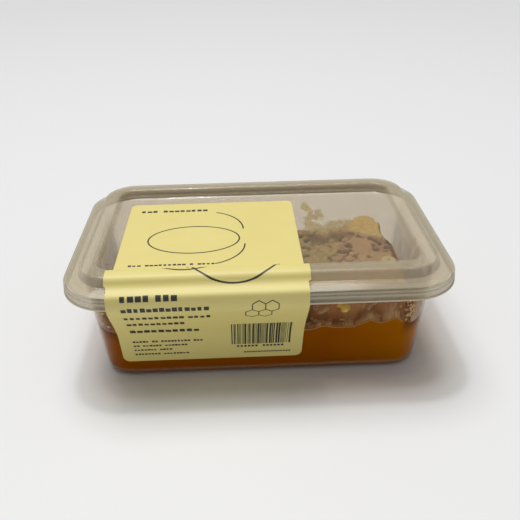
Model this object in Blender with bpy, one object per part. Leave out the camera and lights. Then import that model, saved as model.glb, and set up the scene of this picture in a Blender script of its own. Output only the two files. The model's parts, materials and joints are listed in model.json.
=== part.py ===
"""Closed, labelled clear tub of cut honeycomb standing in honey.

The tub and its press-on lid are thin-walled rounded boxes. The comb is one ragged
block, the honey is solid up to its level and cut round the comb, and a paper label
runs from the lid's panel over the rim and down the front wall.
Metres, +Z up, origin in the middle of the tub's underside, -Y is the labelled front.
"""

from math import cos, pi, sin

import bmesh
import bpy
from mathutils import Vector

# Driving dimensions, in metres
LID_LENGTH = 0.172
LID_WIDTH = 0.118
LID_CORNER = 0.0232
LID_WALL = 0.0008
SKIRT_BOTTOM = 0.0442
LEDGE_HEIGHT = 0.0502
RING_TOP = 0.05565
RING_OUTER_INSET = 0.0072
RING_INNER_INSET = 0.0157
PANEL_INSET = 0.0176
PANEL_HEIGHT = 0.0511

TUB_BASE_LENGTH = 0.1452
TUB_BASE_WIDTH = 0.0904
TUB_CORNER = 0.0141
TUB_WALL = 0.0008
TUB_EDGE_RADIUS = 0.0036
TUB_TAPER = 0.1208
TUB_WALL_TOP = 0.0474
TUB_RIM_TOP = 0.0489
TUB_RIM_REACH = 0.0123
TUB_RIM_LIP_BOTTOM = 0.0469
TUB_RIM_THICKNESS = 0.0008

HONEY_LEVEL = 0.0235
CONTENTS_GAP = 0.00035

COMB_BOTTOM = 0.0075
COMB_TOP = 0.0440
COMB_SIDE_TAPER = 0.06
COMB_EDGE_RADIUS = 0.0022
COMB_RAGGEDNESS = 0.0011
COMB_CROWN = 0.0012
# Corners of the cut block seen from above, anticlockwise from the front right
COMB_CORNERS = (
    (0.0645, -0.0445), (0.0655, -0.0200), (0.0640, 0.0150), (0.0620, 0.0285),
    (0.0525, 0.0275), (0.0465, 0.0195), (0.0220, 0.0150), (-0.0040, 0.0180),
    (-0.0235, 0.0160), (-0.0260, -0.0100), (-0.0240, -0.0425), (0.0200, -0.0450),
)

LABEL_LEFT = -0.0643
LABEL_RIGHT = 0.0195
LABEL_BACK = 0.0329
LABEL_BOTTOM = 0.0094
LABEL_CORNER = 0.0032
LABEL_THICKNESS = 0.00025
LABEL_GAP = 0.0003
LABEL_RETURN_HEIGHT = 0.0285

CORNER_STEPS = 7
EDGE_STEPS = 4
COMB_STEPS = 84
LABEL_END_STEPS = 6


def make_material(name, colour, roughness, transmission=0.0, alpha=1.0):
    """A Principled material with the part's own colour and gloss."""
    material = bpy.data.materials.new(name)
    material.use_nodes = True
    shader = material.node_tree.nodes["Principled BSDF"]
    shader.inputs["Base Color"].default_value = (*colour, 1.0)
    shader.inputs["Roughness"].default_value = roughness
    shader.inputs["Metallic"].default_value = 0.0
    shader.inputs["Transmission Weight"].default_value = transmission
    shader.inputs["Alpha"].default_value = alpha
    return material


def rounded_ring(half_x, half_y, corner, height):
    """Points of a rounded rectangle at one height, anticlockwise from above."""
    centres = (
        (half_x - corner, half_y - corner),
        (corner - half_x, half_y - corner),
        (corner - half_x, corner - half_y),
        (half_x - corner, corner - half_y),
    )
    ring = []
    for quarter, (centre_x, centre_y) in enumerate(centres):
        for step in range(CORNER_STEPS + 1):
            angle = pi / 2 * (quarter + step / CORNER_STEPS)
            point = (centre_x + corner * cos(angle), centre_y + corner * sin(angle), height)
            ring.append(Vector(point))
    return ring


def offset_profile(profile, distance):
    """The same open profile, moved to its left-hand side by a distance."""
    moved = []
    for index, point in enumerate(profile):
        before = profile[max(index - 1, 0)]
        after = profile[min(index + 1, len(profile) - 1)]
        into = Vector(point) - Vector(before)
        out = Vector(after) - Vector(point)
        normals = [Vector((-side.y, side.x)).normalized() for side in (into, out) if side.length > 0]
        mean = sum(normals, Vector((0.0, 0.0))).normalized()
        reach = distance / max(mean.dot(normals[0]), 0.4)
        moved.append((point[0] + mean.x * reach, point[1] + mean.y * reach))
    return moved


def loft(name, rings, material):
    """A closed body through rings of equal length, capped at both ends."""
    mesh = bmesh.new()
    rows = [[mesh.verts.new(point) for point in ring] for ring in rings]
    count = len(rows[0])
    for lower, upper in zip(rows, rows[1:]):
        for index in range(count):
            following = (index + 1) % count
            mesh.faces.new((lower[index], lower[following], upper[following], upper[index]))
    mesh.faces.new(list(reversed(rows[0])))
    mesh.faces.new(rows[-1])
    return finish_object(name, mesh, material)


def finish_object(name, mesh, material):
    """Turn a bmesh into a named object with one material."""
    data = bpy.data.meshes.new(name)
    mesh.to_mesh(data)
    mesh.free()
    data.materials.append(material)
    data.shade_smooth()
    data.set_sharp_from_angle(angle=pi / 5)
    part = bpy.data.objects.new(name, data)
    bpy.context.scene.collection.objects.link(part)
    return part


def lid_profile():
    """The lid's outer surface from skirt to panel, as inset from its edge and height."""
    return [
        (0.0, SKIRT_BOTTOM),
        (0.0003, LEDGE_HEIGHT - 0.0008),
        (0.0011, LEDGE_HEIGHT),
        (RING_OUTER_INSET - 0.0006, LEDGE_HEIGHT + 0.0006),
        (RING_OUTER_INSET, LEDGE_HEIGHT + 0.0013),
        (RING_OUTER_INSET + 0.0006, RING_TOP - 0.0012),
        (RING_OUTER_INSET + 0.0011, RING_TOP - 0.0004),
        (RING_OUTER_INSET + 0.0020, RING_TOP),
        (RING_INNER_INSET - 0.0014, RING_TOP),
        (RING_INNER_INSET - 0.0005, RING_TOP - 0.0004),
        (RING_INNER_INSET, RING_TOP - 0.0012),
        (RING_INNER_INSET + 0.0009, PANEL_HEIGHT + 0.0009),
        (RING_INNER_INSET + 0.0014, PANEL_HEIGHT + 0.0002),
        (PANEL_INSET + 0.0006, PANEL_HEIGHT),
    ]


def lid_ring(inset, height):
    return rounded_ring(LID_LENGTH / 2 - inset, LID_WIDTH / 2 - inset, LID_CORNER - inset, height)


def make_lid():
    """Press-on lid: recessed panel, raised hollow rim, ledge and short skirt."""
    outside = lid_profile()
    inside = offset_profile(outside, -LID_WALL)
    inside[0] = (LID_WALL, SKIRT_BOTTOM)
    inside[-1] = (outside[-1][0], PANEL_HEIGHT - LID_WALL)
    rings = [lid_ring(*point) for point in reversed(inside)]
    rings += [lid_ring(*point) for point in outside]
    plastic = make_material("lid_plastic", (0.62, 0.58, 0.47), 0.25, 0.6, 0.5)
    return loft("lid", rings, plastic)


def tub_reach(height):
    """How far the outer wall stands outside the base outline at a height."""
    return TUB_TAPER * max(height - TUB_EDGE_RADIUS, 0.0)


def tub_ring(reach, height):
    half_x = TUB_BASE_LENGTH / 2 + reach
    half_y = TUB_BASE_WIDTH / 2 + reach
    return rounded_ring(half_x, half_y, TUB_CORNER + reach, height)


def bottom_edge(inward, radius):
    """Quarter-round bottom edge as reach and height, from floor to wall."""
    edge = []
    for step in range(EDGE_STEPS + 1):
        angle = pi / 2 * step / EDGE_STEPS
        edge.append((-inward - radius * (1 - sin(angle)), inward + radius * (1 - cos(angle))))
    return edge


def make_tub():
    """Tapered tub with rounded bottom edges and a turned-out rim with a small lip."""
    wall_top = tub_reach(TUB_WALL_TOP)
    outside = bottom_edge(0.0, TUB_EDGE_RADIUS)
    outside += [
        (wall_top, TUB_WALL_TOP),
        (wall_top + 0.0008, TUB_RIM_TOP - TUB_RIM_THICKNESS),
        (TUB_RIM_REACH - TUB_RIM_THICKNESS, TUB_RIM_TOP - TUB_RIM_THICKNESS),
        (TUB_RIM_REACH - TUB_RIM_THICKNESS, TUB_RIM_LIP_BOTTOM),
        (TUB_RIM_REACH, TUB_RIM_LIP_BOTTOM),
        (TUB_RIM_REACH, TUB_RIM_TOP - 0.0005),
        (TUB_RIM_REACH - 0.0005, TUB_RIM_TOP),
        (wall_top + 0.0004, TUB_RIM_TOP),
        (wall_top - TUB_WALL, TUB_WALL_TOP),
    ]
    inside = bottom_edge(TUB_WALL, TUB_EDGE_RADIUS - TUB_WALL)
    rings = [tub_ring(*point) for point in outside + list(reversed(inside))]
    plastic = make_material("tub_plastic", (0.80, 0.78, 0.72), 0.12, 0.8, 0.4)
    return loft("tub", rings, plastic)


def closed_curve(corners, count):
    """Evenly stepped points on a closed smooth curve through the corners."""
    points = []
    total = len(corners)
    for index in range(count):
        place = index * total / count
        first = int(place)
        blend = place - first
        ends = [Vector(corners[(first + shift) % total]) for shift in (-1, 0, 1, 2)]
        tangent_in = (ends[2] - ends[0]) * 0.32
        tangent_out = (ends[3] - ends[1]) * 0.32
        square = blend * blend
        cube = square * blend
        point = ends[1] * (2 * cube - 3 * square + 1) + tangent_in * (cube - 2 * square + blend)
        point += ends[2] * (3 * square - 2 * cube) + tangent_out * (cube - square)
        points.append(point)
    return points


def comb_ring(height, inset, grow):
    """The comb's ragged outline at a height, pulled in by an inset and grown by a gap."""
    outline = closed_curve(COMB_CORNERS, COMB_STEPS)
    centre = sum(outline, Vector((0.0, 0.0))) / len(outline)
    lean = COMB_SIDE_TAPER * (COMB_TOP - height)
    ring = []
    for index, point in enumerate(outline):
        before = outline[index - 1]
        after = outline[(index + 1) % COMB_STEPS]
        along = (after - before).normalized()
        outward = Vector((along.y, -along.x))
        turn = 2 * pi * index / COMB_STEPS
        ragged = sin(9 * turn + 90 * height) + 0.6 * sin(17 * turn + 1.3) + 0.4 * sin(23 * turn + 2.1)
        move = COMB_RAGGEDNESS * ragged / 2 - inset - lean + grow
        moved = point + outward * move
        ring.append(Vector((moved.x, moved.y, height)))
    return ring, centre


def comb_rings(grow):
    """Rings from the comb's underside, up its sides and over its rounded top edge."""
    rings = [comb_ring(COMB_BOTTOM - grow, 0.0015, grow)[0]]
    for height in (COMB_BOTTOM + 0.0015, 0.018, 0.028, 0.037):
        rings.append(comb_ring(height, 0.0, grow)[0])
    for step in range(EDGE_STEPS):
        angle = pi / 2 * step / (EDGE_STEPS - 1)
        height = COMB_TOP - COMB_EDGE_RADIUS * (1 - sin(angle))
        rings.append(comb_ring(height, COMB_EDGE_RADIUS * (1 - cos(angle)), grow)[0])
    return rings


def comb_cap(edge, centre):
    """Rings that close the comb's top, low waves rising to a slight crown."""
    rings = []
    for shrink in (0.82, 0.62, 0.42, 0.22, 0.06):
        ring = []
        for point in edge:
            x = centre.x + (point.x - centre.x) * shrink
            y = centre.y + (point.y - centre.y) * shrink
            wave = sin(260 * x + 1.0) * sin(310 * y + 0.5)
            height = COMB_TOP + COMB_CROWN * (1 - shrink * shrink) * (0.55 + 0.45 * wave)
            ring.append(Vector((x, y, height)))
        rings.append(ring)
    return rings


def make_honeycomb():
    """Cut block of capped comb, rough-sided, its cells upright in the tub."""
    rings = comb_rings(0.0)
    centre = comb_ring(COMB_TOP, 0.0, 0.0)[1]
    rings += comb_cap(rings[-1], centre)
    wax = make_material("comb_wax", (0.45, 0.29, 0.13), 0.55)
    return loft("honeycomb", rings, wax)


def make_honey():
    """Honey up to its level, 0.3 mm clear of the tub and cut round the comb."""
    clear = TUB_WALL + CONTENTS_GAP
    profile = bottom_edge(clear, TUB_EDGE_RADIUS - clear)
    profile.append((tub_reach(HONEY_LEVEL) - clear, HONEY_LEVEL))
    amber = make_material("honey_amber", (0.30, 0.11, 0.004), 0.05, 0.5)
    honey = loft("honey", [tub_ring(*point) for point in profile], amber)

    cutter = loft("comb_clearance", comb_rings(CONTENTS_GAP), amber)
    cutter.hide_render = True
    cutter.display_type = "WIRE"
    cutter.hide_set(True)
    cut = honey.modifiers.new("pocket for the comb", "BOOLEAN")
    cut.operation = "DIFFERENCE"
    cut.solver = "EXACT"
    cut.object = cutter
    return honey


def label_path():
    """The label's underside in the Y-Z plane, from the panel's back to the front's foot."""
    half = LID_WIDTH / 2
    over_lid = [(inset - half, height) for inset, height in reversed(lid_profile())][:-1]
    foot_y = -TUB_BASE_WIDTH / 2 - tub_reach(LABEL_BOTTOM)
    return_y = -TUB_BASE_WIDTH / 2 - tub_reach(LABEL_RETURN_HEIGHT)
    skirt_y = -half
    path = [(LABEL_BACK, PANEL_HEIGHT)] + over_lid + [(skirt_y, SKIRT_BOTTOM - 0.0005)]
    # Below the skirt the paper swings in to the wall in one slow curve
    for step in range(1, 6):
        blend = step / 6
        ease = blend * blend * (3 - 2 * blend)
        height = SKIRT_BOTTOM - 0.0005 + (LABEL_RETURN_HEIGHT - SKIRT_BOTTOM) * blend
        path.append((skirt_y + (return_y - skirt_y) * ease, height))
    path += [(return_y, LABEL_RETURN_HEIGHT - 0.0005), (foot_y, LABEL_BOTTOM)]
    return path


def with_round_ends(path):
    """Extra points near both ends, and the distance of every point from its end."""
    start, finish = Vector(path[0]), Vector(path[-1])
    into_start = (Vector(path[1]) - start).normalized()
    into_finish = (Vector(path[-2]) - finish).normalized()
    steps = [LABEL_CORNER * (1 - cos(pi / 2 * i / LABEL_END_STEPS)) for i in range(LABEL_END_STEPS + 1)]
    points = [(start + into_start * step, step) for step in steps]
    points += [(Vector(point), LABEL_CORNER) for point in path[1:-1]]
    points += [(finish + into_finish * step, step) for step in reversed(steps)]
    return points


def make_label():
    """Thin paper label with rounded corners, folded over the lid's rim."""
    ended = with_round_ends(label_path())
    path = [tuple(point) for point, _ in ended]
    under = offset_profile(path, -LABEL_GAP)
    over = offset_profile(path, -LABEL_GAP - LABEL_THICKNESS)
    mesh = bmesh.new()
    rows = []
    for (_, from_end), low, high in zip(ended, under, over):
        missing = LABEL_CORNER - from_end
        narrow = LABEL_CORNER - (max(LABEL_CORNER**2 - missing**2, 0.0)) ** 0.5
        left, right = LABEL_LEFT + narrow, LABEL_RIGHT - narrow
        corners = ((left, *low), (right, *low), (right, *high), (left, *high))
        rows.append([mesh.verts.new(corner) for corner in corners])
    for first, second in zip(rows, rows[1:]):
        for index in range(4):
            following = (index + 1) % 4
            mesh.faces.new((first[index], first[following], second[following], second[index]))
    mesh.faces.new(list(reversed(rows[0])))
    mesh.faces.new(rows[-1])
    bmesh.ops.recalc_face_normals(mesh, faces=mesh.faces)
    paper = make_material("label_paper", (0.78, 0.67, 0.25), 0.55)
    return finish_object("label", mesh, paper)


for leftover in list(bpy.data.objects):
    bpy.data.objects.remove(leftover, do_unlink=True)

make_tub()
make_honeycomb()
make_honey()
make_lid()
make_label()
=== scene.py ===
"""Closed, labelled clear tub of cut honeycomb standing in honey.

The sections follow the tub as it is packed: the tub, the comb set in it, the honey
poured round the comb, the drips and flakes on the wall, the lid pressed on, the wax
stuck under it, and last the paper label and its print. Metres, +Z up, -Y is the front.
"""

import random
from math import atan2, cos, exp, hypot, pi, radians, sin, sqrt

import bmesh
import bpy
from mathutils import Euler, Matrix, Vector, noise
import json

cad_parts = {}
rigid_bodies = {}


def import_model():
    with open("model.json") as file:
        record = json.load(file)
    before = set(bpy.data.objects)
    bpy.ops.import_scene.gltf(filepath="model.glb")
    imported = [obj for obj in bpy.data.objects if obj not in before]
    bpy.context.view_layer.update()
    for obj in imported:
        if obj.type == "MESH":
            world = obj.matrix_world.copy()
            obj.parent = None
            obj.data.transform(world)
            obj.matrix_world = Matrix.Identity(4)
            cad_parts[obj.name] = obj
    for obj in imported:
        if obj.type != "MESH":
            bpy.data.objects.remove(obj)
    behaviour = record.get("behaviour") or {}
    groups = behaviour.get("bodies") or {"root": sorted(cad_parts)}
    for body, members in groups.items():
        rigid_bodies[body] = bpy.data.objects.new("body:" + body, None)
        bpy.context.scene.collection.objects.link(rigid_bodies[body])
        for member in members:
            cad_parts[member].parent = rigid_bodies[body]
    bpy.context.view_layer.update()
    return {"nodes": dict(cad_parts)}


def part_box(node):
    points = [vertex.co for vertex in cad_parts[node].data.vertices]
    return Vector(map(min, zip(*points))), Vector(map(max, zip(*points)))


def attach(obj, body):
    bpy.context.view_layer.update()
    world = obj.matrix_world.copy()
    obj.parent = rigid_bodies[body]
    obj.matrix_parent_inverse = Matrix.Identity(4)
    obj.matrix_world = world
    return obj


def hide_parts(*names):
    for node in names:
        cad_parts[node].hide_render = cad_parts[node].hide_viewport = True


for leftover in list(bpy.data.objects):
    bpy.data.objects.remove(leftover, do_unlink=True)
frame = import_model()
bpy.ops.object.select_all(action="DESELECT")


# ---------------------------------------------------------------- tub
# The tub is thin clear polypropylene, injection moulded, with sloping walls, a rounded
# bottom edge and a turned-out rim with a small lip that the lid grips.

tub_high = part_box("tub")[1]
RIM_REACH = 0.0123
TUB_CORNER = 0.0141
TUB_WALL = 0.0008
TUB_EDGE = 0.0036
# Height of the pale painted highlight line near the tub's bottom edge
FOOT_HIGHLIGHT_LINE = 0.0038
WALL_SLOPE = 0.1208
WALL_TOP = 0.0474
RIM_LIP_BOTTOM = 0.0469
RIM_THICKNESS = 0.0008
ARC_SEGMENTS = 14
# How sharply plastic turns solid and shiny at a glancing angle, and how far it mirrors there
RIM_STEEPNESS = 5
RIM_MIRROR = 0.8
tub_half_x = tub_high.x - RIM_REACH
tub_half_y = tub_high.y - RIM_REACH


def only(piece):
    """Select one object and make it the active one."""
    bpy.ops.object.select_all(action="DESELECT")
    piece.select_set(True)
    bpy.context.view_layer.objects.active = piece


def start_editing():
    bpy.ops.object.mode_set(mode="EDIT")


def stop_editing():
    bpy.ops.object.mode_set(mode="OBJECT")


def smooth(piece, degrees):
    """Shade a piece smooth, but keep edges sharper than an angle."""
    only(piece)
    bpy.ops.object.shade_smooth_by_angle(angle=radians(degrees))


def apply_modifier(piece, kind, **settings):
    """Add one modifier and apply it at once."""
    only(piece)
    modifier = piece.modifiers.new(kind.title(), kind)
    for name, value in settings.items():
        setattr(modifier, name, value)
    bpy.ops.object.modifier_apply(modifier=modifier.name)


def apply_place():
    """Put the selected object's place, turn and size into its mesh."""
    bpy.ops.object.transform_apply(location=True, rotation=True, scale=True)


def rounded_box(name, half_x, half_y, corner, profile):
    """Draw a rounded box up from its lowest outline, ring by ring.

    Each profile point is the reach outside the half sizes and the height. Every ring
    keeps the same four corner centres, so its walls are offset evenly all round.
    """
    reach, height = profile[0]
    bpy.ops.mesh.primitive_plane_add(size=2, location=(0, 0, height))
    piece = bpy.context.object
    piece.name = name
    start_editing()
    bpy.context.tool_settings.mesh_select_mode = (True, False, False)
    bpy.ops.transform.resize(value=(half_x + reach, half_y + reach, 1))
    bpy.ops.mesh.bevel(offset=corner + reach, segments=ARC_SEGMENTS, affect="VERTICES")
    for (reach, height), (next_reach, next_height) in zip(profile, profile[1:]):
        rise = next_height - height
        bpy.ops.mesh.extrude_region_move(TRANSFORM_OT_translate={"value": (0, 0, rise)})
        mesh = bmesh.from_edit_mesh(piece.data)
        ring = [point for point in mesh.verts if point.select]
        swell = (corner + next_reach) / (corner + reach)
        for side_x, side_y in ((1, 1), (-1, 1), (-1, -1), (1, -1)):
            centre = Vector((side_x * (half_x - corner), side_y * (half_y - corner), next_height))
            for point in ring:
                if point.co.x * side_x > 0 and point.co.y * side_y > 0:
                    point.co.x = centre.x + (point.co.x - centre.x) * swell
                    point.co.y = centre.y + (point.co.y - centre.y) * swell
        bmesh.update_edit_mesh(piece.data)
    stop_editing()
    only(piece)
    apply_place()
    return piece


def open_end(piece, height):
    """Take away the flat face that closes the box at a height."""
    start_editing()
    bpy.ops.mesh.select_all(action="DESELECT")
    mesh = bmesh.from_edit_mesh(piece.data)
    for face in mesh.faces:
        level = abs(face.calc_center_median().z - height) < 1e-6
        if level and len(face.verts) > 4:
            face.select = True
    bmesh.update_edit_mesh(piece.data)
    bpy.ops.mesh.delete(type="FACE")
    bpy.ops.mesh.select_all(action="SELECT")
    bpy.ops.mesh.remove_doubles(threshold=1e-6)
    bpy.ops.mesh.normals_make_consistent(inside=False)
    stop_editing()


def quarter_round(inward, radius, steps):
    """Reach and height along a rounded bottom edge, from the floor to the wall."""
    turns = [pi / 2 * step / steps for step in range(steps + 1)]
    return [(-inward - radius * (1 - sin(turn)), inward + radius * (1 - cos(turn))) for turn in turns]


def wall_reach(height):
    """How far the tub's outer wall stands outside its base outline."""
    return WALL_SLOPE * max(height - TUB_EDGE, 0.0)


def fill(socket, value):
    """Give a node's input a number, a colour, or another node's output."""
    if isinstance(value, bpy.types.NodeSocket):
        socket.id_data.links.new(value, socket)
    elif isinstance(value, tuple) and len(value) < len(socket.default_value):
        socket.default_value = (*value, 1)
    else:
        socket.default_value = value


def shader_of(material):
    """The material's main shader."""
    return material.node_tree.nodes["Principled BSDF"]


def plain_material(name, values):
    """A material with only its main shader, whose inputs are filled by name."""
    material = bpy.data.materials.new(name)
    material.use_nodes = True
    for key, value in values.items():
        fill(shader_of(material).inputs[key], value)
    return material


def node_of(material, kind, values, **settings):
    """Add a shader node, change its settings, and fill its inputs by name or number."""
    node = material.node_tree.nodes.new("ShaderNode" + kind)
    for name, value in settings.items():
        setattr(node, name, value)
    for key, value in values.items():
        fill(node.inputs[key], value)
    return node


def reckon(material, operation, *terms):
    """The result of one operation on numbers and node outputs."""
    return node_of(material, "Math", dict(enumerate(terms)), operation=operation).outputs["Value"]


def attribute_of(material, name):
    """A number painted on the piece."""
    return node_of(material, "Attribute", {}, attribute_name=name).outputs["Fac"]


def blend_shaders(material, share, under, over):
    """One shader over another by a share, shown as the material's surface."""
    blend = node_of(material, "MixShader", {"Fac": share, 1: under, 2: over}).outputs["Shader"]
    fill(material.node_tree.nodes["Material Output"].inputs["Surface"], blend)
    return blend


def clear_plastic(name, tint, body, haze, murk, shine, gloss_roughness):
    """Thin see-through plastic: a tinted opening, a little haze, and a mirror glint.

    haze is the share of solid body colour face on, murk the share added at the rim,
    and shine the share mirrored face on.
    A number painted on the piece adds haze where the plastic is thick or ribbed, and pale lines that are
    painted highlights along some edges.
    """
    material = plain_material(name, {"Base Color": body, "Roughness": 0.5, "IOR": 1.1})
    opening = node_of(material, "BsdfTransparent", {"Color": tint}).outputs["BSDF"]
    facing = node_of(material, "LayerWeight", {"Blend": 0.5}).outputs["Facing"]
    steep = reckon(material, "POWER", facing, RIM_STEEPNESS)
    cover = reckon(material, "ADD", reckon(material, "MULTIPLY_ADD", steep, murk, haze),
                   attribute_of(material, "milk"))
    cover.node.use_clamp = True
    plain = blend_shaders(material, cover, opening, shader_of(material).outputs["BSDF"])
    mirror = node_of(material, "BsdfGlossy", {"Roughness": gloss_roughness}).outputs["BSDF"]
    glance = reckon(material, "MULTIPLY_ADD", steep, RIM_MIRROR, shine)
    blend_shaders(material, glance, plain, mirror)
    return material


def store(piece, name, values):
    """Keep one number for every point of a piece, under a name its material reads."""
    piece.data.attributes.new(name, "FLOAT", "POINT").data.foreach_set("value", values)


def paint(piece, name, value_at):
    """Store a number at every point, worked out from the point's place."""
    store(piece, name, [value_at(point.co) for point in piece.data.vertices])


def step_between(low, high, value):
    """0 below low, 1 above high, smooth between."""
    blend = min(max((value - low) / (high - low), 0.0), 1.0)
    return blend * blend * (3 - 2 * blend)


def foot_highlight_and_haze(spot):
    """A pale line above the thick bottom edge is a painted highlight, with a cloudy roll under it."""
    line = exp(-(((spot.z - FOOT_HIGHLIGHT_LINE) / 0.0004) ** 2))
    roll = 1 - step_between(0.0022, FOOT_HIGHLIGHT_LINE, spot.z)
    return 0.34 * line + 0.10 * roll


wall_top = wall_reach(WALL_TOP)
tub_profile = quarter_round(0.0, TUB_EDGE, 6) + [
    (wall_reach(FOOT_HIGHLIGHT_LINE - 0.0003), FOOT_HIGHLIGHT_LINE - 0.0003),
    (wall_reach(FOOT_HIGHLIGHT_LINE), FOOT_HIGHLIGHT_LINE),
    (wall_reach(FOOT_HIGHLIGHT_LINE + 0.0005), FOOT_HIGHLIGHT_LINE + 0.0005),
    (wall_reach(FOOT_HIGHLIGHT_LINE + 0.0016), FOOT_HIGHLIGHT_LINE + 0.0016),
    (wall_reach(0.020), 0.020),
    (wall_reach(0.036), 0.036),
    (wall_top, WALL_TOP),
    (wall_top + 0.0003, tub_high.z - RIM_THICKNESS - 0.0002),
    (wall_top + 0.0008, tub_high.z - RIM_THICKNESS),
    (RIM_REACH - RIM_THICKNESS - 0.0003, tub_high.z - RIM_THICKNESS),
    (RIM_REACH - RIM_THICKNESS, tub_high.z - RIM_THICKNESS - 0.0003),
    (RIM_REACH - RIM_THICKNESS, RIM_LIP_BOTTOM),
    (RIM_REACH, RIM_LIP_BOTTOM),
    (RIM_REACH, tub_high.z - 0.0005),
    (RIM_REACH - 0.0005, tub_high.z),
    (wall_top + 0.0004, tub_high.z),
    (wall_top - 0.0003, tub_high.z - 0.0004),
    (wall_top - TUB_WALL, WALL_TOP),
]
tub_inside = quarter_round(TUB_WALL, TUB_EDGE - TUB_WALL, 6)
tub_inside += [(wall_reach(0.020) - TUB_WALL, 0.020), (wall_reach(0.036) - TUB_WALL, 0.036)]
tub = rounded_box("clear_tub", tub_half_x, tub_half_y, TUB_CORNER, tub_profile + tub_inside[::-1])
smooth(tub, 35)
paint(tub, "milk", foot_highlight_and_haze)
tub.data.materials.append(
    clear_plastic("clear_tub_plastic", (0.93, 0.90, 0.855), (0.60, 0.47, 0.32), 0.0, 0.50, 0.0, 0.12)
)
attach(tub, "root")
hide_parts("tub")


# ---------------------------------------------------------------- comb
# The comb is a block cut from a frame and laid flat: upright wax cells with domed
# cappings on top, some torn open, and ragged sides where the knife went through.

comb_low, comb_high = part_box("honeycomb")
CELL_WIDTH = 0.0053
COMB_VOXEL = 0.00055
TOP_FROM = 0.036
SIDE_SHRINK = 0.0008
CAP_SWELL = 0.0005
DOME = 0.00032
DOME_REACH = 0.0030
CRACK_DEPTH = 0.0015
CRACK_HALF_WIDTH = 0.0007
WELL_DEPTH = 0.0030
# Torn cells that stand out from the rest: place across and along, and size
WELLS = (
    (0.0221, 0.0044, 0.0015), (0.0241, -0.0002, 0.0017), (0.0230, -0.0073, 0.0021),
    (0.0225, -0.0164, 0.0017), (0.0413, 0.0111, 0.0018), (0.0413, 0.0005, 0.0015),
    (0.0437, -0.0075, 0.0024), (0.0396, -0.0130, 0.0023), (0.0416, -0.0127, 0.0018),
    (0.0446, -0.0118, 0.0016), (0.0447, -0.0171, 0.0014), (0.0503, 0.0028, 0.0017),
    (0.0522, 0.0020, 0.0014), (0.0558, 0.0008, 0.0021), (0.0576, -0.0014, 0.0017),
    (0.0566, -0.0098, 0.0020), (0.0592, -0.0042, 0.0021), (0.0518, -0.0189, 0.0015),
    (0.0626, -0.0082, 0.0018), (0.0625, -0.0040, 0.0013), (0.0612, -0.0120, 0.0014),
    (0.0330, -0.0195, 0.0012), (0.0300, -0.0040, 0.0012), (0.0345, -0.0075, 0.0012),
    (0.0480, 0.0065, 0.0012), (0.0260, -0.0090, 0.0015), (0.0556, -0.0065, 0.0013),
    (0.0100, -0.0060, 0.0020), (0.0000, 0.0050, 0.0018), (-0.0120, -0.0180, 0.0020),
    (-0.0090, 0.0070, 0.0015), (0.0120, -0.0250, 0.0017),
)
BEIGE_WAX = (0.51, 0.38, 0.135)
PALE_BEIGE_WAX = (0.60, 0.44, 0.18)
GOLDEN_WAX = (0.84, 0.63, 0.24)
CREAM_WAX = (0.84, 0.72, 0.42)
ROSY_WAX = (0.62, 0.40, 0.22)
# Brown of the open cells, also laid on the comb's right side as painted shade
DARK_CELL_AND_SHADE_WAX = (0.30, 0.165, 0.10)
SOAKED_WAX = (0.66, 0.30, 0.11)
# Near black painted shade down the cracks between cappings and in torn cells
GAP_PAINTED_SHADE = (0.12, 0.04, 0.02)
cell_draw = random.Random(11)
# Wandering noise starts from the clock unless it is given a seed
noise.seed_set(11)


def copy_node(node, name):
    """A separate copy of a CAD solid, its loose triangles merged."""
    piece = frame["nodes"][node].copy()
    piece.data = frame["nodes"][node].data.copy()
    piece.name = name
    piece.parent = None
    for key in list(piece.keys()):
        del piece[key]
    bpy.context.scene.collection.objects.link(piece)
    only(piece)
    start_editing()
    bpy.ops.mesh.select_all(action="SELECT")
    bpy.ops.mesh.remove_doubles(threshold=1e-6)
    stop_editing()
    piece.data.materials.clear()
    return piece


comb = copy_node("honeycomb", "comb_block")
comb_middle = (comb_low + comb_high) / 2
# The block stands a little lower and narrower than the comb with its cappings
for point in comb.data.vertices:
    if point.co.z > TOP_FROM:
        point.co.z -= CAP_SWELL
    outward = Vector((point.co.x - comb_middle.x, point.co.y - comb_middle.y, 0)).normalized()
    point.co -= outward * SIDE_SHRINK
apply_modifier(comb, "REMESH", mode="VOXEL", voxel_size=COMB_VOXEL, use_smooth_shade=True)
apply_modifier(comb, "SMOOTH", factor=0.5, iterations=2)

# Middles of the cells, in rows that wander as bees build them
row_step = CELL_WIDTH * sqrt(3) / 2
cells = {}
for row in range(-1, int((comb_high.y - comb_low.y) / row_step) + 3):
    for column in range(-1, int((comb_high.x - comb_low.x) / CELL_WIDTH) + 3):
        x = comb_low.x + CELL_WIDTH * (column + 0.5 * (row % 2)) + cell_draw.uniform(-0.0012, 0.0012)
        y = comb_low.y + row_step * row + cell_draw.uniform(-0.0010, 0.0010)
        cells[row, column] = (x, y, cell_draw.uniform(-0.0004, 0.0004))


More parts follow.
